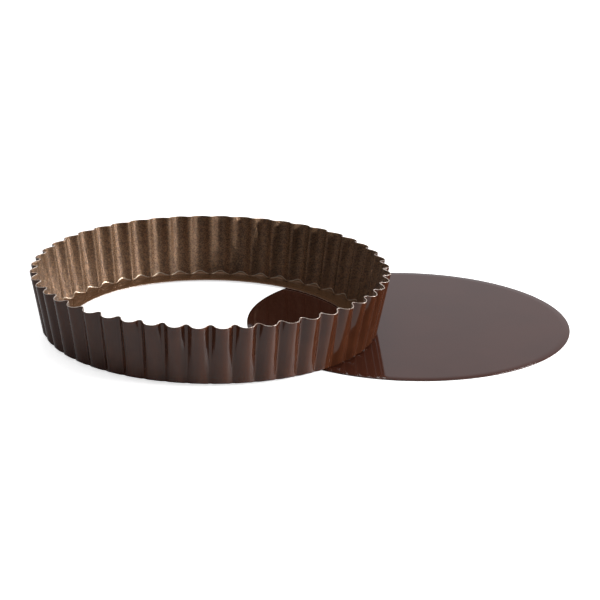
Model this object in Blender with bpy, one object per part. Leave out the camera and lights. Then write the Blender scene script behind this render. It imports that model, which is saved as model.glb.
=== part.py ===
"""Deep fluted tart pan with a loose bottom, taken apart: a fluted ring lying over a flat disc.

The ring is one drawn sheet: a narrow flat ledge, a turned corner, and a flared wall pressed
into flutes. The disc drops in from above and sits on the ledge; here it lies on the table,
pulled out sideways from under the ring. Metres, +Z up, table at z = 0. The line through the
two centres is the X axis, and the origin is the middle of the whole, on the table.
"""
import math

import bmesh
import bpy
from mathutils import Vector

# Sheet metal
RING_SHEET = 0.0006            # thickness of the ring's sheet
BOTTOM_SHEET = 0.0008          # thickness of the loose bottom

# Fluted ring, measured on its outside
FLUTE_COUNT = 48
RING_HEIGHT = 0.0422           # table side of the ledge to the rim, at a lobe
RIDGE_RISE = 0.0010            # how much higher the rim stands at a ridge
RIM_LOBE_RADIUS = 0.1250       # axis to the outside of a lobe, at the rim
RIM_FLUTE_DEPTH = 0.0049
RIM_RIDGE_BEND = 0.0021        # bend radius of a ridge, at the rim
RIM_FLANK_ANGLE = math.radians(57)
LOBE_FLARE = 0.0084            # how far a lobe leans out from the table side to the rim
BASE_FLUTE_DEPTH = 0.0024      # the same three, where the wall's lines reach the table side
BASE_RIDGE_BEND = 0.0017
BASE_FLANK_ANGLE = math.radians(29)
LEDGE_REACH = 0.0131           # how far the ledge reaches in under a seated disc's edge
CORNER_BEND = 0.0032           # outside bend radius from the ledge into the flare
FLARE_ANGLE = math.radians(52)  # how far that bend turns before it runs straight into the wall

# Loose bottom
SEAT_CLEARANCE = 0.0003        # between the disc's edge and the ridges when it is seated
CORNER_RUNOUT = 0.0005         # flat ledge left outside a seated disc, before the corner bend
EDGE_CHAMFER = 0.00015         # broken edge of the disc

# How the two lie
CENTRE_DISTANCE = 0.1394       # ring's axis to the disc's axis
TOUCH_GAP = 0.0003             # between the disc's top and the ring's underside

# Facets
LOBE_STEPS = 2                 # from a lobe's middle to the start of its flank
RIDGE_STEPS = 1                # from the end of a flank to a ridge's middle
CORNER_STEPS = 4
DISC_SIDES = 144
HALVINGS = 40                  # steps in the search for where wall and corner meet

base_lobe_radius = RIM_LOBE_RADIUS - LOBE_FLARE
bottom_radius = base_lobe_radius - BASE_FLUTE_DEPTH - RING_SHEET - SEAT_CLEARANCE
opening_radius = bottom_radius - LEDGE_REACH
corner_centre_radius = bottom_radius + CORNER_RUNOUT
ring_centre_x = (RIM_LOBE_RADIUS - bottom_radius - CENTRE_DISTANCE) / 2
bottom_centre_x = ring_centre_x + CENTRE_DISTANCE
ring_underside_z = BOTTOM_SHEET + TOUCH_GAP


def clear_scene():
    for item in list(bpy.data.objects):
        bpy.data.objects.remove(item, do_unlink=True)


def coated_metal(name, color, metallic, roughness):
    material = bpy.data.materials.new(name)
    material.use_nodes = True
    shader = material.node_tree.nodes["Principled BSDF"]
    shader.inputs["Base Color"].default_value = (*color, 1.0)
    shader.inputs["Metallic"].default_value = metallic
    shader.inputs["Roughness"].default_value = roughness
    return material


def add_node(name, mesh_data, location, material, crease_angle):
    mesh = bpy.data.meshes.new(name)
    mesh_data.normal_update()
    mesh_data.to_mesh(mesh)
    mesh_data.free()
    mesh.materials.append(material)
    mesh.shade_smooth()
    mesh.set_sharp_from_angle(angle=crease_angle)
    node = bpy.data.objects.new(name, mesh)
    node.location = location
    bpy.context.scene.collection.objects.link(node)
    return node


def direction(angle):
    return Vector((math.cos(angle), math.sin(angle)))


def half_flute(lobe_radius, flute_depth, ridge_bend, flank_angle, inset):
    """Points from a lobe's middle, on +X, round to a ridge's middle.

    A lobe's bend and a ridge's bend, joined by the straight flank that touches both. The
    lobe's bend radius follows from the rest. The inset steps the outline in by the sheet.
    """
    half_pitch = math.pi / FLUTE_COUNT
    ridge_centre = direction(half_pitch) * (lobe_radius - flute_depth + ridge_bend)
    reach = (ridge_centre - Vector((lobe_radius, 0))).dot(direction(flank_angle))
    lobe_bend = (reach - ridge_bend) / (1 - math.cos(flank_angle))
    lobe_centre = Vector((lobe_radius - lobe_bend, 0))
    points = []
    for step in range(LOBE_STEPS + 1):
        turn = flank_angle * step / LOBE_STEPS
        points.append(lobe_centre + direction(turn) * (lobe_bend - inset))
    for step in range(RIDGE_STEPS + 1):
        turn = flank_angle + (half_pitch - flank_angle) * step / RIDGE_STEPS
        points.append(ridge_centre - direction(turn) * (ridge_bend + inset))
    return points


def fluted_outline(lobe_radius, flute_depth, ridge_bend, flank_angle, inset):
    """The closed outline of all flutes, starting at a ridge."""
    half = half_flute(lobe_radius, flute_depth, ridge_bend, flank_angle, inset)
    mirrored = [Vector((point.x, -point.y)) for point in reversed(half)]
    flute = mirrored[:-1] + half[:-1]
    outline = []
    for index in range(FLUTE_COUNT):
        turn = 2 * math.pi * index / FLUTE_COUNT
        for point in flute:
            across = Vector((-point.y, point.x))
            outline.append(point * math.cos(turn) + across * math.sin(turn))
    return outline


def base_outline(inset):
    outline = fluted_outline(base_lobe_radius, BASE_FLUTE_DEPTH, BASE_RIDGE_BEND, BASE_FLANK_ANGLE, inset)
    return [point.to_3d() for point in outline]


def rim_outline(inset):
    """Outline of the cut rim, which stands higher the nearer it is to a ridge."""
    outline = fluted_outline(RIM_LOBE_RADIUS, RIM_FLUTE_DEPTH, RIM_RIDGE_BEND, RIM_FLANK_ANGLE, inset)
    points = []
    for point in outline:
        from_lobe = RIM_LOBE_RADIUS - inset - point.length
        height = RING_HEIGHT + RIDGE_RISE * from_lobe / RIM_FLUTE_DEPTH
        points.append(Vector((point.x, point.y, height)))
    return points


def corner_height(radius, inset):
    """Height of the ledge, corner bend and flare at a radius, stepped up by the sheet."""
    bend = CORNER_BEND - inset
    past_centre = radius - corner_centre_radius
    bend_end = bend * math.sin(FLARE_ANGLE)
    if past_centre <= 0:
        return inset
    if past_centre < bend_end:
        return CORNER_BEND - math.sqrt(bend ** 2 - past_centre ** 2)
    bend_end_height = CORNER_BEND - bend * math.cos(FLARE_ANGLE)
    return bend_end_height + (past_centre - bend_end) * math.tan(FLARE_ANGLE)


def wall_point(base_point, rim_point, height):
    return base_point.lerp(rim_point, height / rim_point.z)


def meeting_point(base_point, rim_point, inset):
    """Where a wall line, from the table side up to the rim, meets the corner: found by halving."""
    low = 0.0
    high = rim_point.z
    for _ in range(HALVINGS):
        middle = (low + high) / 2
        radius = wall_point(base_point, rim_point, middle).xy.length
        if corner_height(radius, inset) > middle:
            low = middle
        else:
            high = middle
    return wall_point(base_point, rim_point, low)


def section_side(base_point, rim_point, inset):
    """One face of the ring's section on one wall line, from the opening up to the rim."""
    met = meeting_point(base_point, rim_point, inset)
    outward = met.xy.normalized()
    radii = [opening_radius]
    for step in range(CORNER_STEPS):
        radii.append(bottom_radius + (met.xy.length - bottom_radius) * step / CORNER_STEPS)
    points = []
    for radius in radii:
        height = corner_height(radius, inset)
        points.append(Vector((outward.x * radius, outward.y * radius, height)))
    return points + [met, rim_point]


def build_fluted_ring(material):
    """Ring of flutes with an in-turned ledge, one closed sheet."""
    sides = []
    for inset in (0.0, RING_SHEET):
        wall_lines = zip(base_outline(inset), rim_outline(inset))
        sides.append([section_side(low, high, inset) for low, high in wall_lines])
    ring = bmesh.new()
    columns = []
    for outside, inside in zip(*sides):
        columns.append([ring.verts.new(point) for point in outside + inside[::-1]])
    for column, following in zip(columns, columns[1:] + columns[:1]):
        for index in range(len(column)):
            before = index - 1
            ring.faces.new((column[before], following[before], following[index], column[index]))
    bmesh.ops.recalc_face_normals(ring, faces=ring.faces)
    location = (ring_centre_x, 0, ring_underside_z)
    return add_node("fluted_ring", ring, location, material, math.radians(50))


def build_loose_bottom(material):
    """Flat disc with a broken edge."""
    disc = bmesh.new()
    bmesh.ops.create_circle(disc, cap_ends=True, segments=DISC_SIDES, radius=bottom_radius)
    raised = bmesh.ops.extrude_face_region(disc, geom=disc.faces[:])
    top = [item for item in raised["geom"] if isinstance(item, bmesh.types.BMVert)]
    bmesh.ops.translate(disc, verts=top, vec=(0, 0, BOTTOM_SHEET))
    rim_edges = [edge for edge in disc.edges if edge.verts[0].co.z == edge.verts[1].co.z]
    bmesh.ops.bevel(disc, geom=rim_edges, offset=EDGE_CHAMFER, segments=1, affect="EDGES")
    bmesh.ops.recalc_face_normals(disc, faces=disc.faces)
    return add_node("loose_bottom", disc, (bottom_centre_x, 0, 0), material, math.radians(30))


clear_scene()
build_fluted_ring(coated_metal("ring_coating", (0.075, 0.045, 0.034), 0.5, 0.35))
build_loose_bottom(coated_metal("bottom_coating", (0.070, 0.022, 0.014), 0.3, 0.15))
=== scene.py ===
"""Deep fluted tart pan taken apart: its fluted ring lies partly over its loose flat bottom."""
import math

import bpy
from mathutils import Matrix, Vector


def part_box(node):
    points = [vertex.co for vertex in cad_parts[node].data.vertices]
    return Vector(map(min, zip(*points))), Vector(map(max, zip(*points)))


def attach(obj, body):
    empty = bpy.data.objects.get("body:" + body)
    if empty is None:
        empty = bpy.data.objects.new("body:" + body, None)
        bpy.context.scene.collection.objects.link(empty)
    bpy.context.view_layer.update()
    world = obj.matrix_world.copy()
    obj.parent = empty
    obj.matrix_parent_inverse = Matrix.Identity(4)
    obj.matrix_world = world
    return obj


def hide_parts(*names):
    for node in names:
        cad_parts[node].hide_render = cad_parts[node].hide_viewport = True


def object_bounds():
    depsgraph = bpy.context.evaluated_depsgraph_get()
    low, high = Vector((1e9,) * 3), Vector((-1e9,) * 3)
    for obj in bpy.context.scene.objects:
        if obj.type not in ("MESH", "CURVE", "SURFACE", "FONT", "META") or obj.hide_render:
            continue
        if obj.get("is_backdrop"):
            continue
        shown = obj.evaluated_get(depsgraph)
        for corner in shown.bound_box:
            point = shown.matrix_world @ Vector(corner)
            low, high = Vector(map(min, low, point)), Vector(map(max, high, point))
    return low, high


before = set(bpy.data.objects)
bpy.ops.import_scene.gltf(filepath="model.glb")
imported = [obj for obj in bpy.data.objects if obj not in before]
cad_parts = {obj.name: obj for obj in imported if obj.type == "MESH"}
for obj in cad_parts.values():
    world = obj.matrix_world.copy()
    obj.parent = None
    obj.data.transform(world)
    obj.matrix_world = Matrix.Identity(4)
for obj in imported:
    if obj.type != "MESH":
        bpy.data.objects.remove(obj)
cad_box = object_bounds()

scene = bpy.context.scene
scene.view_settings.view_transform = "Standard"


# ---- Camera -------------------------------------------------------------------------------
# A long lens on a tripod, looking down at the pan across its front, from a little to the left.

CAMERA_PLACE = Vector((-0.18155, -1.75696, 0.62500))
CAMERA_TURN = math.radians(-5.82)       # about the vertical
CAMERA_DOWN = math.radians(18.98)
CAMERA_LEAN = math.radians(1.04)        # about its own line of sight
LENS_MM = 160.47
SENSOR_MM = 36.0
FRAME_SHIFT = (0.00316, 0.0040)         # share of the frame's width
NEAREST_SEEN = 0.05
FARTHEST_SEEN = 100.0

camera_data = bpy.data.cameras.new("camera")
camera_data.sensor_width = SENSOR_MM
camera_data.lens = LENS_MM
camera_data.shift_x, camera_data.shift_y = FRAME_SHIFT
camera_data.clip_start = NEAREST_SEEN
camera_data.clip_end = FARTHEST_SEEN
camera = bpy.data.objects.new("camera", camera_data)
camera.matrix_world = (
    Matrix.Translation(CAMERA_PLACE)
    @ Matrix.Rotation(CAMERA_TURN, 4, "Z")
    @ Matrix.Rotation(math.pi / 2 - CAMERA_DOWN, 4, "X")
    @ Matrix.Rotation(CAMERA_LEAN, 4, "Z")
)
scene.collection.objects.link(camera)
scene.camera = camera


# ---- Table --------------------------------------------------------------------------------
# A white satin sweep. It glows to the camera alone, so that it stays pale in the pan's shadow,
# but throws no light of its own onto the pan.

TABLE_SIZE = 24.0
TABLE_DROP = 0.0002                     # below the pan's underside, so the two don't flicker
TABLE_WHITE = (0.86, 0.86, 0.86)
TABLE_ROUGHNESS = 0.35
GLOW_WHITE = (1.0, 1.0, 1.0)
NO_GLOW = (0.0, 0.0, 0.0)
TABLE_GLOW = 0.75


class Value:
    """An output of a node, which arithmetic turns into Math nodes."""

    def __init__(self, nodes, socket):
        self.nodes = nodes
        self.socket = socket

    def output(self, name):
        return Value(self.nodes, self.socket.node.outputs[name])

    def math(self, operation, *values):
        return self.nodes.math(operation, self, *values)

    def __add__(self, other):
        return self.math("ADD", other)

    def __radd__(self, other):
        return self.math("ADD", other)

    def __sub__(self, other):
        return self.math("SUBTRACT", other)

    def __rsub__(self, other):
        return self.nodes.math("SUBTRACT", other, self)

    def __mul__(self, other):
        return self.math("MULTIPLY", other)

    def __rmul__(self, other):
        return self.math("MULTIPLY", other)

    def __truediv__(self, other):
        return self.math("DIVIDE", other)

    def __rtruediv__(self, other):
        return self.nodes.math("DIVIDE", other, self)

    def __pow__(self, other):
        return self.math("POWER", other)

    def __abs__(self):
        return self.math("ABSOLUTE")


class Nodes:
    """A node tree being built. node() adds one node, sets it, then fills or links its sockets."""

    def __init__(self, tree):
        self.tree = tree

    def node(self, kind, settings=None, inputs=None, output=0):
        made = self.tree.nodes.new(kind)
        for name, setting in (settings or {}).items():
            setattr(made, name, setting)
        for name, value in (inputs or {}).items():
            socket = self.find(made.inputs, name)
            if isinstance(value, Value):
                self.tree.links.new(value.socket, socket)
            else:
                socket.default_value = value
        if len(made.outputs):
            return Value(self, self.find(made.outputs, output))

    def find(self, sockets, name):
        if isinstance(name, int):
            return sockets[name]
        return next(socket for socket in sockets if socket.identifier == name)

    def math(self, operation, *values):
        return self.node("ShaderNodeMath", {"operation": operation}, dict(enumerate(values)))

    def mix_color(self, factor, first, second):
        return self.node(
            "ShaderNodeMix",
            {"data_type": "RGBA"},
            {"Factor_Float": factor, "A_Color": first, "B_Color": second},
            "Result_Color",
        )

    def ramp_between(self, value, low, high):
        """0 below low, 1 above high, smooth between them."""
        return self.node(
            "ShaderNodeMapRange",
            {"interpolation_type": "SMOOTHSTEP"},
            {"Value": value, "From Min": low, "From Max": high},
        )


def rgba(color):
    return (*color, 1.0)


def new_material(name):
    """A material, and the nodes of its tree, which is empty."""
    material = bpy.data.materials.new(name)
    material.use_nodes = True
    material.node_tree.nodes.clear()
    return material, Nodes(material.node_tree)


def set_surface(nodes, shader):
    nodes.node("ShaderNodeOutputMaterial", None, {"Surface": shader})


def plane(name, size, height):
    half = size / 2
    corners = [(x, y, height) for x, y in ((-half, -half), (half, -half), (half, half), (-half, half))]
    mesh = bpy.data.meshes.new(name)
    mesh.from_pydata(corners, [], [(0, 1, 2, 3)])
    sheet = bpy.data.objects.new(name, mesh)
    scene.collection.objects.link(sheet)
    return sheet


table_material, nodes = new_material("table_white")
seen_straight = nodes.node("ShaderNodeLightPath", None, None, "Is Camera Ray")
set_surface(nodes, nodes.node("ShaderNodeBsdfPrincipled", None, {
    "Base Color": rgba(TABLE_WHITE),
    "Roughness": TABLE_ROUGHNESS,
    "Emission Color": nodes.mix_color(seen_straight, rgba(NO_GLOW), rgba(GLOW_WHITE)),
    "Emission Strength": TABLE_GLOW,
}))
table = plane("table", TABLE_SIZE, -TABLE_DROP)
table.data.materials.append(table_material)
table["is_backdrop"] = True


# ---- Studio light -------------------------------------------------------------------------
# A dim room with a white backdrop behind the pan, brightest low down, a broad overhead light
# for the sweep, and a low strip of diffused light to the pan's right.

ROOM_DIM = 0.14
ROOM_TINT = (0.985, 0.990, 1.030)
BACKDROP_BRIGHT = 0.63
BACKDROP_EDGE = (0.55, 0.88)            # how far round to the back the backdrop starts and is full
BACKDROP_TOP = (0.22, 0.60)             # how far up it starts to fade and is gone
SOFTBOXES = {
    # place, aimed at, width, height, watts
    "key_softbox": ((1.33, -0.33, 0.51), (-0.05, 0.0, 0.02), 0.9, 0.26, 34.0),
    "top_softbox": ((0.0, 0.30, 2.2), (0.0, 0.0, 0.0), 2.6, 2.0, 32.0),
}

world = bpy.data.worlds.new("room")
world.use_nodes = True
world.node_tree.nodes.clear()
nodes = Nodes(world.node_tree)
direction = nodes.node("ShaderNodeTexCoord", None, None, "Generated")
towards = nodes.node("ShaderNodeSeparateXYZ", None, {"Vector": direction})
backdrop = nodes.ramp_between(towards.output("Y"), *BACKDROP_EDGE)
backdrop = backdrop * (1 - nodes.ramp_between(towards.output("Z"), *BACKDROP_TOP))
brightness = ROOM_DIM + (BACKDROP_BRIGHT - ROOM_DIM) * backdrop
room = nodes.node("ShaderNodeBackground", None, {"Color": rgba(ROOM_TINT), "Strength": brightness})
nodes.node("ShaderNodeOutputWorld", None, {"Surface": room})
scene.world = world

for name, (place, target, width, height, watts) in SOFTBOXES.items():
    light = bpy.data.lights.new(name, "AREA")
    light.shape = "RECTANGLE"
    light.size = width
    light.size_y = height
    light.energy = watts
    softbox = bpy.data.objects.new(name, light)
    aim = Vector(target) - Vector(place)
    softbox.rotation_mode = "QUATERNION"
    softbox.rotation_quaternion = aim.to_track_quat("-Z", "Y")
    softbox.location = place
    scene.collection.objects.link(softbox)


# ---- Fluted ring --------------------------------------------------------------------------
# One sheet of thin steel, drawn and pressed into 48 flutes, with a narrow ledge turned in at
# the table side. It is lacquered outside, and coated with a grained non-stick inside. Its rim
# is cut, and nothing fixes it to the bottom.

ring_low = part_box("fluted_ring")[0]
FLUTES = 48
RING_SIZES = {
    # metres and radians, measured on the outside
    "Sheet": 0.0006,
    "Height": 0.0422,
    "Ridge rise": 0.0010,
    "Rim lobe radius": 0.1250,
    "Rim flute depth": 0.0049,
    "Rim ridge bend": 0.0021,
    "Rim flank angle": math.radians(57),
    "Base lobe radius": 0.1166,
    "Base flute depth": 0.0024,
    "Base ridge bend": 0.0017,
    "Base flank angle": math.radians(29),
    "Opening radius": 0.1002,
    "Ledge flat radius": 0.1133,
    "Corner centre radius": 0.1138,
    "Corner bend": 0.0032,
    "Flare angle": math.radians(52),
    "Cut edge": 0.00010,
    "Crease": 0.0006,
}
RING_AXIS_X = ring_low.x + RING_SIZES["Rim lobe radius"]
LOBE_COLUMNS = 6
FLANK_COLUMNS = 2
RIDGE_COLUMNS = 5
HALF_COLUMNS = LOBE_COLUMNS + FLANK_COLUMNS + RIDGE_COLUMNS
WALL_ROWS = 8
WALL_ROW_CROWDING = 2.5                 # the wall's rows stand closest together under the rim
CREASE_ROWS = 5
CORNER_ROWS = 4
LEDGE_ROWS = 3
SIDE_ROWS = 1 + WALL_ROWS + CREASE_ROWS + CORNER_ROWS + LEDGE_ROWS + 1
HALF_STEP = 0.5                         # tells one whole number from the next
WELD = 0.00001                          # points nearer than this are one
ANY_INNER = 0.01                        # a face with a corner on the inner side is above this
ALL_INNER = 0.99                        # and one wholly on the inner side is above this
RIM_FACE = 0.9                          # a face at the rim has a mean step below this


class Shape(Nodes):
    """A Geometry Nodes tree with one named input for each size."""

    def __init__(self, name, sizes):
        tree = bpy.data.node_groups.new(name, "GeometryNodeTree")
        super().__init__(tree)
        tree.interface.new_socket("Geometry", in_out="OUTPUT", socket_type="NodeSocketGeometry")
        for size in sizes:
            tree.interface.new_socket(size, in_out="INPUT", socket_type="NodeSocketFloat")
        self.entry = self.node("NodeGroupInput")

    def size(self, name):
        return self.entry.output(name)

    def vector(self, x, y, z):
        return self.node("ShaderNodeCombineXYZ", None, {"X": x, "Y": y, "Z": z})

    def blend(self, share, first, second):
        """A number share of the way from first to second."""
        return first + (second - first) * share

    def step_share(self, count, start, steps):
        """Share of a run of steps that a count has passed, from 0 to 1."""
        return self.node(
            "ShaderNodeMapRange",
            None,
            {"Value": count, "From Min": start, "From Max": start + steps},
        )

    def finish(self, geometry):
        self.node("NodeGroupOutput", None, {0: geometry})


def run_shape(name, shape, sizes):
    """Runs a tree on an empty mesh, and keeps the result as a plain mesh object."""
    maker = bpy.data.objects.new(name + "_maker", bpy.data.meshes.new(name + "_maker"))
    scene.collection.objects.link(maker)
    modifier = maker.modifiers.new(name, "NODES")
    modifier.node_group = shape.tree
    for item in shape.tree.interface.items_tree:
        if item.in_out == "INPUT":
            modifier[item.identifier] = sizes[item.name]
    bpy.context.view_layer.update()
    evaluated = maker.evaluated_get(bpy.context.evaluated_depsgraph_get())
    mesh = bpy.data.meshes.new_from_object(evaluated)
    mesh.name = name
    if mesh.materials[0] is None:
        mesh.materials.pop(index=0)     # the empty slot that the tree started from
    piece = bpy.data.objects.new(name, mesh)
    scene.collection.objects.link(piece)
    bpy.data.objects.remove(maker)
    return piece


def flute_point(shape, end, lobe_share, flank_share, ridge_share, inset):
    """x and y on a flute's outline at one end, "Base" or "Rim": lobe bend, flank, ridge bend."""
    lobe_radius = shape.size(end + " lobe radius")
    ridge_bend = shape.size(end + " ridge bend")
    flank_angle = shape.size(end + " flank angle")
    half_pitch = math.pi / FLUTES
    ridge_reach = lobe_radius - shape.size(end + " flute depth") + ridge_bend
    ridge_x = ridge_reach * math.cos(half_pitch)
    ridge_y = ridge_reach * math.sin(half_pitch)
    flank_cos = flank_angle.math("COSINE")
    flank_sin = flank_angle.math("SINE")
    reach = (ridge_x - lobe_radius) * flank_cos + ridge_y * flank_sin
    lobe_bend = (reach - ridge_bend) / (1 - flank_cos)
    turn = flank_angle * lobe_share + (half_pitch - flank_angle) * ridge_share
    turn_cos = turn.math("COSINE")
    turn_sin = turn.math("SINE")
    x = shape.blend(
        flank_share,
        lobe_radius - lobe_bend + turn_cos * (lobe_bend - inset),
        ridge_x - turn_cos * (ridge_bend + inset),
    )
    y = shape.blend(
        flank_share,
        turn_sin * (lobe_bend - inset),
        ridge_y - turn_sin * (ridge_bend + inset),
    )
    return x, y


def length_of(x, y):
    return (x * x + y * y) ** 0.5


def turned_flutes(shape, flute):
    """The flute, repeated round the ring's axis and welded to its neighbours."""
    turns = shape.node("GeometryNodePoints", None, {"Count": FLUTES})
    turn = shape.node("GeometryNodeInputIndex") * (2 * math.pi / FLUTES)
    about_the_axis = shape.vector(0.0, 0.0, turn)
    rotation = shape.node("FunctionNodeEulerToRotation", None, {"Euler": about_the_axis})
    ring = shape.node(
        "GeometryNodeInstanceOnPoints",
        None,
        {"Points": turns, "Instance": flute, "Rotation": rotation},
    )
    ring = shape.node("GeometryNodeRealizeInstances", None, {"Geometry": ring})
    ring = shape.node("GeometryNodeMergeByDistance", None, {"Geometry": ring, "Distance": WELD})
    ring_place = (RING_AXIS_X, 0.0, 0.0)
    ring = shape.node("GeometryNodeTransform", None, {"Geometry": ring, "Translation": ring_place})
    return shape.node("GeometryNodeSetShadeSmooth", None, {"Geometry": ring})


def read_attribute(shape, name):
    return shape.node("GeometryNodeInputNamedAttribute", {"data_type": "FLOAT"}, {"Name": name})


def coated(shape, ring, coatings):
    """The ring with its materials: outside everywhere, then the inside and the cut edges."""
    outside, inside, cut = coatings
    inner = read_attribute(shape, "inner")
    partly_inner = inner.math("GREATER_THAN", ANY_INNER) * inner.math("LESS_THAN", ALL_INNER)
    faces = (
        (outside, None),
        (inside, inner.math("GREATER_THAN", ALL_INNER)),
        (cut, partly_inner),
        (cut, read_attribute(shape, "section").math("LESS_THAN", RIM_FACE)),
    )
    for coating, selection in faces:
        inputs = {"Geometry": ring, "Material": coating}
        if selection is not None:
            inputs["Selection"] = selection
        ring = shape.node("GeometryNodeSetMaterial", None, inputs)
    return ring


def fluted_ring_shape(coatings):
    """The tree of the whole ring: one flute's points placed by formula, then turned and coated."""
    shape = Shape("fluted_ring_shape", RING_SIZES)
    sheet = shape.size("Sheet")
    cut_edge = shape.size("Cut edge")

    # One flute as a grid: a column across it from ridge to ridge, a row round its section
    columns = 2 * HALF_COLUMNS
    rows = 2 * (SIDE_ROWS + 1)
    flute = shape.node(
        "GeometryNodeMeshGrid",
        None,
        {"Size X": columns, "Size Y": rows, "Vertices X": columns + 1, "Vertices Y": rows + 1},
    )
    point = shape.node("GeometryNodeInputPosition")
    place = shape.node("ShaderNodeSeparateXYZ", None, {"Vector": point})
    column = place.output("X").math("ROUND")
    row = (place.output("Y") + rows / 2).math("ROUND").math("MODULO", rows)

    lobe_share = shape.step_share(abs(column), 0, LOBE_COLUMNS)
    flank_share = shape.step_share(abs(column), LOBE_COLUMNS, FLANK_COLUMNS)
    ridge_share = shape.step_share(abs(column), LOBE_COLUMNS + FLANK_COLUMNS, RIDGE_COLUMNS)
    side_sign = column.math("SIGN")

    # A row's step down from the rim, and whether it is on the inner face
    inner = row.math("GREATER_THAN", SIDE_ROWS + HALF_STEP)
    step = shape.blend(inner, SIDE_ROWS - row, row - SIDE_ROWS - 1)
    at_rim = step.math("LESS_THAN", HALF_STEP)
    at_opening = step.math("GREATER_THAN", SIDE_ROWS - HALF_STEP)
    inset = sheet * inner
    edge_inset = cut_edge + (sheet - cut_edge * 2) * inner
    wall_inset = shape.blend(at_rim, inset, edge_inset)

    base_x, base_y = flute_point(shape, "Base", lobe_share, flank_share, ridge_share, wall_inset)
    rim_x, rim_y = flute_point(shape, "Rim", lobe_share, flank_share, ridge_share, wall_inset)
    base_radius = length_of(base_x, base_y)
    rim_radius = length_of(rim_x, rim_y)
    from_lobe = shape.size("Rim lobe radius") - wall_inset - rim_radius
    ridge_rise = shape.size("Ridge rise") * from_lobe / shape.size("Rim flute depth")
    rim_height = shape.size("Height") + ridge_rise
    lean = (rim_radius - base_radius) / rim_height

    # Where the wall's line meets the corner, on its bend or on the flare above it
    corner_bend = shape.size("Corner bend")
    flare_angle = shape.size("Flare angle")
    flare_tan = flare_angle.math("TANGENT")
    bend = corner_bend - inset
    bend_end = bend * flare_angle.math("SINE")
    bend_end_height = corner_bend - bend * flare_angle.math("COSINE")
    past_centre = base_radius - shape.size("Corner centre radius")
    flare_meeting = (bend_end_height + (past_centre - bend_end) * flare_tan) / (1 - lean * flare_tan)
    slope_term = 1 + lean * lean
    height_term = corner_bend - lean * past_centre
    rest_term = past_centre * past_centre + corner_bend * corner_bend - bend * bend
    root = (height_term * height_term - slope_term * rest_term).math("MAXIMUM", 0.0) ** 0.5
    bend_meeting = (height_term - root) / slope_term
    on_flare = flare_meeting.math("GREATER_THAN", bend_end_height)
    meeting = shape.blend(on_flare, bend_meeting, flare_meeting)

    def corner_height(radius):
        past = radius - shape.size("Corner centre radius")
        on_bend = past.math("MAXIMUM", 0.0).math("MINIMUM", bend_end)
        past_bend = (past - bend_end).math("MAXIMUM", 0.0)
        return corner_bend - (bend * bend - on_bend * on_bend) ** 0.5 + past_bend * flare_tan

    # Down the wall, from the rim to the crease
    crease = shape.size("Crease")
    wall_share = shape.step_share(step, 1, WALL_ROWS) ** WALL_ROW_CROWDING
    crease_top = meeting + crease
    wall_top = rim_height - cut_edge * (1 - at_rim)
    wall_height = shape.blend(wall_share, wall_top, crease_top)
    met_share = meeting / rim_height
    met_x = shape.blend(met_share, base_x, rim_x)
    met_y = shape.blend(met_share, base_y, rim_y)
    met_radius = length_of(met_x, met_y)
    out_x = met_x / met_radius
    out_y = met_y / met_radius
    on_wall = wall_height / rim_height
    wall_x = shape.blend(on_wall, base_x, rim_x)
    wall_y = shape.blend(on_wall, base_y, rim_y)

    # Round the crease: a curve that touches the wall and the corner on either side of it
    crease_share = shape.step_share(step, 1 + WALL_ROWS, CREASE_ROWS)
    low_radius = met_radius - crease
    from_wall = (1 - crease_share) * (1 - crease_share)
    from_met = 2 * crease_share * (1 - crease_share)
    from_low = crease_share * crease_share
    crease_x = wall_x * from_wall + met_x * from_met + out_x * low_radius * from_low
    crease_y = wall_y * from_wall + met_y * from_met + out_y * low_radius * from_low
    crease_z = wall_height * from_wall + meeting * from_met + corner_height(low_radius) * from_low

    # In along the corner and the ledge to the opening's cut edge
    corner_share = shape.step_share(step, 1 + WALL_ROWS + CREASE_ROWS, CORNER_ROWS)
    ledge_share = shape.step_share(step, SIDE_ROWS - 1 - LEDGE_ROWS, LEDGE_ROWS)
    flat_radius = shape.size("Ledge flat radius")
    opening = shape.size("Opening radius")
    corner_radius = shape.blend(corner_share, low_radius, flat_radius)
    ledge_radius = shape.blend(ledge_share, corner_radius, opening + cut_edge)
    inner_radius = shape.blend(at_opening, ledge_radius, opening)
    inner_height = shape.blend(at_opening, corner_height(inner_radius), edge_inset)

    on_corner = step.math("GREATER_THAN", 1 + WALL_ROWS + CREASE_ROWS + HALF_STEP)
    x = shape.blend(on_corner, crease_x, out_x * inner_radius)
    y = shape.blend(on_corner, crease_y, out_y * inner_radius)
    z = shape.blend(on_corner, crease_z, inner_height)

    # What the coatings need to know about a place on the sheet
    sheet_marks = {
        "ridge": shape.blend(0.5, flank_share, ridge_share),
        "section": step,
        "inner": inner,
    }
    for name, value in sheet_marks.items():
        flute = shape.node(
            "GeometryNodeStoreNamedAttribute",
            {"data_type": "FLOAT", "domain": "POINT"},
            {"Geometry": flute, "Name": name, "Value": value},
        )
    flute = shape.node(
        "GeometryNodeSetPosition",
        None,
        {"Geometry": flute, "Position": shape.vector(x, y * side_sign, z + ring_low.z)},
    )
    shape.finish(coated(shape, turned_flutes(shape, flute), coatings))
    return shape


def object_place(nodes):
    return nodes.node("ShaderNodeTexCoord", None, None, "Object")


def noise(nodes, place, size, detail=2.0, roughness=0.5):
    """Noise whose features are about size across, in metres."""
    return nodes.node(
        "ShaderNodeTexNoise",
        None,
        {"Vector": place, "Scale": 1 / size, "Detail": detail, "Roughness": roughness},
    )


def stretched(nodes, place, upward):
    """Places squeezed in height, so that a pattern runs long up the wall."""
    return nodes.node("ShaderNodeMapping", None, {"Vector": place, "Scale": (1.0, 1.0, upward)})


def bump(nodes, height, depth):
    return nodes.node("ShaderNodeBump", None, {"Height": height, "Distance": depth})


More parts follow.
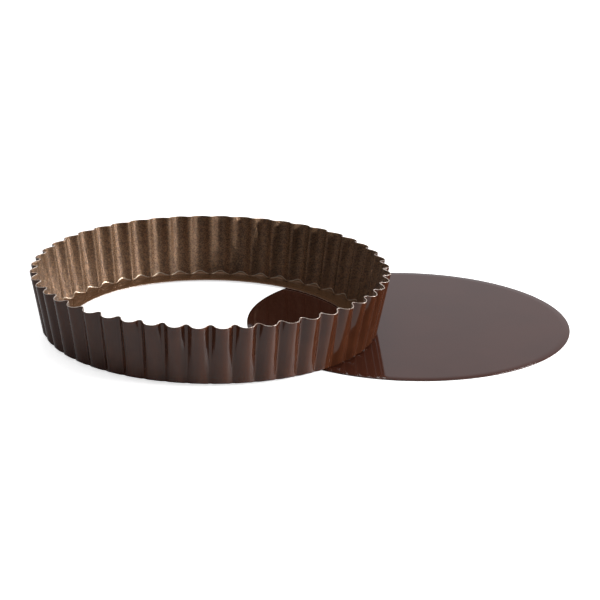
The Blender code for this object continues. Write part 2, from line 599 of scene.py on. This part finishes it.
def attribute(nodes, name):
    return nodes.node("ShaderNodeAttribute", {"attribute_name": name}, None, "Fac")


# Outside: a smooth gloss lacquer with a faint orange peel and the drawing lines of the press
LACQUER_BROWN = (0.063, 0.0196, 0.0086)
LACQUER_DEEP = (0.051, 0.0157, 0.0070)
LACQUER_IOR = 1.45
LACQUER_SMOOTH = 0.05                   # roughness where neither clouds nor lines add to it
CLOUDY_ROUGHNESS = 0.03
LINED_ROUGHNESS = 0.05
CLOUD_SIZE = 0.022
CLOUD_RANGE = (0.35, 0.65)
DRAW_LINE_SIZE = 0.0011
DRAW_LINE_STRETCH = 0.05                # how much slower a pattern changes up the wall than across
DRAW_LINE_SHARE = 0.08                  # of the height of the waves
PEEL_SIZE = 0.0016
PEEL_SHARE = 0.05
WAVE_SIZE = 0.0065
WAVE_STRETCH = 0.35
WAVE_HEIGHT = 0.00012
ring_outside, nodes = new_material("chocolate_lacquer")
place = object_place(nodes)
clouds = nodes.ramp_between(noise(nodes, place, CLOUD_SIZE, detail=3.0), *CLOUD_RANGE)
up_the_wall = stretched(nodes, place, DRAW_LINE_STRETCH)
draw_lines = noise(nodes, up_the_wall, DRAW_LINE_SIZE, detail=3.0, roughness=0.6)
peel = noise(nodes, place, PEEL_SIZE)
waves = noise(nodes, stretched(nodes, place, WAVE_STRETCH), WAVE_SIZE)
relief = draw_lines * DRAW_LINE_SHARE + peel * PEEL_SHARE + waves
set_surface(nodes, nodes.node("ShaderNodeBsdfPrincipled", None, {
    "Base Color": nodes.mix_color(clouds, rgba(LACQUER_DEEP), rgba(LACQUER_BROWN)),
    "Roughness": LACQUER_SMOOTH + clouds * CLOUDY_ROUGHNESS + draw_lines * LINED_ROUGHNESS,
    "IOR": LACQUER_IOR,
    "Normal": bump(nodes, relief, WAVE_HEIGHT),
}))

# Inside: a bronze non-stick coating, grained and full of fine flakes, but smooth on the ledge.
# A painted highlight, lighter and more metallic than the coating, runs along the crease at the foot of
# each lobe.
INSIDE_BRONZE = (0.208, 0.112, 0.059)
INSIDE_DEEP = (0.102, 0.063, 0.040)
LEDGE_BRONZE = (0.125, 0.062, 0.030)
FLAKE_LIGHT = (0.44, 0.30, 0.19)
# Colour of the painted highlight along the crease at each lobe's foot
CREASE_HIGHLIGHT_PAINT = (0.50, 0.40, 0.30)
INSIDE_IOR = 1.36
INSIDE_METALLIC = 0.34
FLAKE_METALLIC = 0.28
# Extra metallic share of the painted crease highlight
CREASE_HIGHLIGHT_METALLIC = 0.2
INSIDE_SMOOTH = 0.16
GRAIN_ROUGHNESS = 0.14
GRAIN_SIZE = 0.0007
GRAIN_HEIGHT = 0.00028
LEDGE_GRAIN = 0.12                      # share of the grain's height that the ledge has
FLAKE_SIZE = 0.0007
FLAKE_RANGE = (0.78, 0.95)              # only the brightest cells show as flakes
FLAKE_STRENGTH = 0.35
SPECKLE_MIX = (0.5, 0.35, 0.15)         # shares of grain, flakes and clouds
SPECKLE_RANGE = (0.36, 0.64)
INSIDE_CLOUD_SIZE = 0.008
INSIDE_CLOUD_STRETCH = 0.25
LOBE_EDGE = (0.25, 0.60)                # from a lobe's side of the flank to a ridge's
CREASE_START = 1 + WALL_ROWS            # steps down from the rim
CREASE_MIDDLE = CREASE_START + 2
CREASE_SOFT_END = CREASE_START + 4
ring_inside, nodes = new_material("bronze_non_stick")
place = object_place(nodes)
section = attribute(nodes, "section")
on_wall = 1 - nodes.ramp_between(section, CREASE_START, CREASE_START + CREASE_ROWS)
in_lobe = 1 - nodes.ramp_between(attribute(nodes, "ridge"), *LOBE_EDGE)
# Painted highlight along the crease, only in the lobes: it rises into the crease's middle and fades
# out below it
painted_crease_highlight = nodes.ramp_between(section, CREASE_START, CREASE_MIDDLE) * in_lobe
painted_crease_highlight = painted_crease_highlight * (1 - nodes.ramp_between(section, CREASE_MIDDLE, CREASE_SOFT_END))
grain = noise(nodes, place, GRAIN_SIZE, detail=4.0, roughness=0.65)
up_the_wall = stretched(nodes, place, INSIDE_CLOUD_STRETCH)
clouds = noise(nodes, up_the_wall, INSIDE_CLOUD_SIZE, detail=3.0)
cells = nodes.node("ShaderNodeTexVoronoi", None, {"Vector": place, "Scale": 1 / FLAKE_SIZE}, "Color")
cell = nodes.node("ShaderNodeSeparateColor", None, {"Color": cells}, "Red")
grain_share, cell_share, cloud_share = SPECKLE_MIX
mottle = grain * grain_share + cell * cell_share + clouds * cloud_share
speckle = nodes.ramp_between(mottle, *SPECKLE_RANGE)
flake = nodes.ramp_between(cell, *FLAKE_RANGE) * on_wall
tone = nodes.mix_color(speckle, rgba(INSIDE_DEEP), rgba(INSIDE_BRONZE))
tone = nodes.mix_color(flake * FLAKE_STRENGTH, tone, rgba(FLAKE_LIGHT))
tone = nodes.mix_color(1 - on_wall, tone, rgba(LEDGE_BRONZE))
# The painted crease highlight is laid over the coating's colour
tone = nodes.mix_color(painted_crease_highlight, tone, rgba(CREASE_HIGHLIGHT_PAINT))
set_surface(nodes, nodes.node("ShaderNodeBsdfPrincipled", None, {
    "Base Color": tone,
    "Metallic": INSIDE_METALLIC + flake * FLAKE_METALLIC + painted_crease_highlight * CREASE_HIGHLIGHT_METALLIC,
    "Roughness": INSIDE_SMOOTH + grain * GRAIN_ROUGHNESS,
    "IOR": INSIDE_IOR,
    "Normal": bump(nodes, grain * (LEDGE_GRAIN + on_wall * (1 - LEDGE_GRAIN)), GRAIN_HEIGHT),
}))

# The rim and the opening are cut after coating, so their edges are bare, and a little stained
CUT_METAL = (0.78, 0.69, 0.62)
CUT_STAIN = (0.48, 0.36, 0.29)
CUT_METALLIC = 1.0
CUT_ROUGHNESS = 0.42
STAIN_ROUGHNESS = 0.15
STAIN_SIZE = 0.004
STAIN_RANGE = (0.40, 0.70)
SHEAR_SIZE = 0.0003
SHEAR_ROUGHNESS = 0.1
SHEAR_HEIGHT = 0.00003
ring_cut, nodes = new_material("cut_steel")
place = object_place(nodes)
stain = noise(nodes, place, STAIN_SIZE, detail=4.0, roughness=0.6)
stain = nodes.ramp_between(stain, *STAIN_RANGE)
shear = noise(nodes, place, SHEAR_SIZE)
set_surface(nodes, nodes.node("ShaderNodeBsdfPrincipled", None, {
    "Base Color": nodes.mix_color(stain, rgba(CUT_METAL), rgba(CUT_STAIN)),
    "Metallic": CUT_METALLIC,
    "Roughness": CUT_ROUGHNESS + stain * STAIN_ROUGHNESS + shear * SHEAR_ROUGHNESS,
    "Normal": bump(nodes, shear, SHEAR_HEIGHT),
}))

ring_shape = fluted_ring_shape((ring_outside, ring_inside, ring_cut))
ring = run_shape("pan_ring", ring_shape, RING_SIZES)
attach(ring, "ring")
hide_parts("fluted_ring")


# ---- Loose bottom -------------------------------------------------------------------------
# A flat disc stamped from thin sheet steel, with a glossy red-brown non-stick lacquer. It lies
# loose on the table, and drops into the ring from above to rest on its ledge.

bottom_low, bottom_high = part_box("loose_bottom")
BOTTOM_SIDES = 360
BOTTOM_ROUND = 0.00025                  # the stamped edge rolls over at the top
BOTTOM_BURR = 0.00006                   # and is nearly sharp underneath
ROUND_STEPS = 4
TOP_SHARES = (0.0, 0.02, 0.25, 0.5, 0.75, 0.95)     # of the radius, where the top has points
UNDER_SHARES = (0.95, 0.5, 0.02, 0.0)
bottom_centre = (bottom_low + bottom_high) / 2
bottom_radius = (bottom_high.x - bottom_low.x) / 2


def bottom_section():
    """Radius and height from the middle of the top, round the edge, to the middle underneath."""
    top, low = bottom_high.z, bottom_low.z
    section = [(bottom_radius * share, top) for share in TOP_SHARES]
    for step in range(ROUND_STEPS + 1):
        turn = math.pi / 2 * step / ROUND_STEPS
        section.append((
            bottom_radius - BOTTOM_ROUND * (1 - math.sin(turn)),
            top - BOTTOM_ROUND * (1 - math.cos(turn)),
        ))
    section.append((bottom_radius, low + BOTTOM_BURR))
    section.append((bottom_radius - BOTTOM_BURR, low))
    section += [(bottom_radius * share, low) for share in UNDER_SHARES]
    return section


def turned_disc(name, section, sides):
    """A section turned round the vertical through the disc's middle, with closed poles."""
    points = [(bottom_centre.x, bottom_centre.y, section[0][1])]
    for radius, height in section[1:-1]:
        for side in range(sides):
            turn = 2 * math.pi * side / sides
            points.append((
                bottom_centre.x + radius * math.cos(turn),
                bottom_centre.y + radius * math.sin(turn),
                height,
            ))
    points.append((bottom_centre.x, bottom_centre.y, section[-1][1]))
    last = len(points) - 1
    first_ring = 1
    last_ring = last - sides
    faces = []
    for side in range(sides):
        after = (side + 1) % sides
        faces.append((0, first_ring + side, first_ring + after))
        for start in range(first_ring, last_ring, sides):
            faces.append((start + side, start + sides + side, start + sides + after, start + after))
        faces.append((last_ring + side, last, last_ring + after))
    mesh = bpy.data.meshes.new(name)
    mesh.from_pydata(points, [], faces)
    mesh.shade_smooth()
    mesh.validate()
    piece = bpy.data.objects.new(name, mesh)
    scene.collection.objects.link(piece)
    return piece


BOTTOM_RED_BROWN = (0.0495, 0.0145, 0.0084)
BOTTOM_DEEP = (0.0435, 0.0126, 0.0071)
BOTTOM_IOR = 1.47
BOTTOM_SMOOTH = 0.06
HAZE_ROUGHNESS = 0.04
HAZE_SIZE = 0.012
HAZE_RANGE = (0.45, 0.75)
BOTTOM_CLOUD_SIZE = 0.05
BOTTOM_CLOUD_RANGE = (0.35, 0.65)
BOTTOM_PEEL_SIZE = 0.0022
BOTTOM_PEEL_HEIGHT = 0.000002
bottom_coat, nodes = new_material("red_brown_lacquer")
place = object_place(nodes)
clouds = noise(nodes, place, BOTTOM_CLOUD_SIZE, detail=3.0)
clouds = nodes.ramp_between(clouds, *BOTTOM_CLOUD_RANGE)
peel = noise(nodes, place, BOTTOM_PEEL_SIZE, detail=1.0)
haze = noise(nodes, place, HAZE_SIZE, detail=4.0, roughness=0.6)
haze = nodes.ramp_between(haze, *HAZE_RANGE)
set_surface(nodes, nodes.node("ShaderNodeBsdfPrincipled", None, {
    "Base Color": nodes.mix_color(clouds, rgba(BOTTOM_DEEP), rgba(BOTTOM_RED_BROWN)),
    "Roughness": BOTTOM_SMOOTH + haze * HAZE_ROUGHNESS,
    "IOR": BOTTOM_IOR,
    "Normal": bump(nodes, peel, BOTTOM_PEEL_HEIGHT),
}))
bottom = turned_disc("pan_bottom", bottom_section(), BOTTOM_SIDES)
bottom.data.materials.append(bottom_coat)
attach(bottom, "bottom")
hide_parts("loose_bottom")


def plain(value):
    if hasattr(value, "__len__"):
        return [plain(item) for item in value]
    return float(value)


{"cad": plain(cad_box), "visual": plain(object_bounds())}
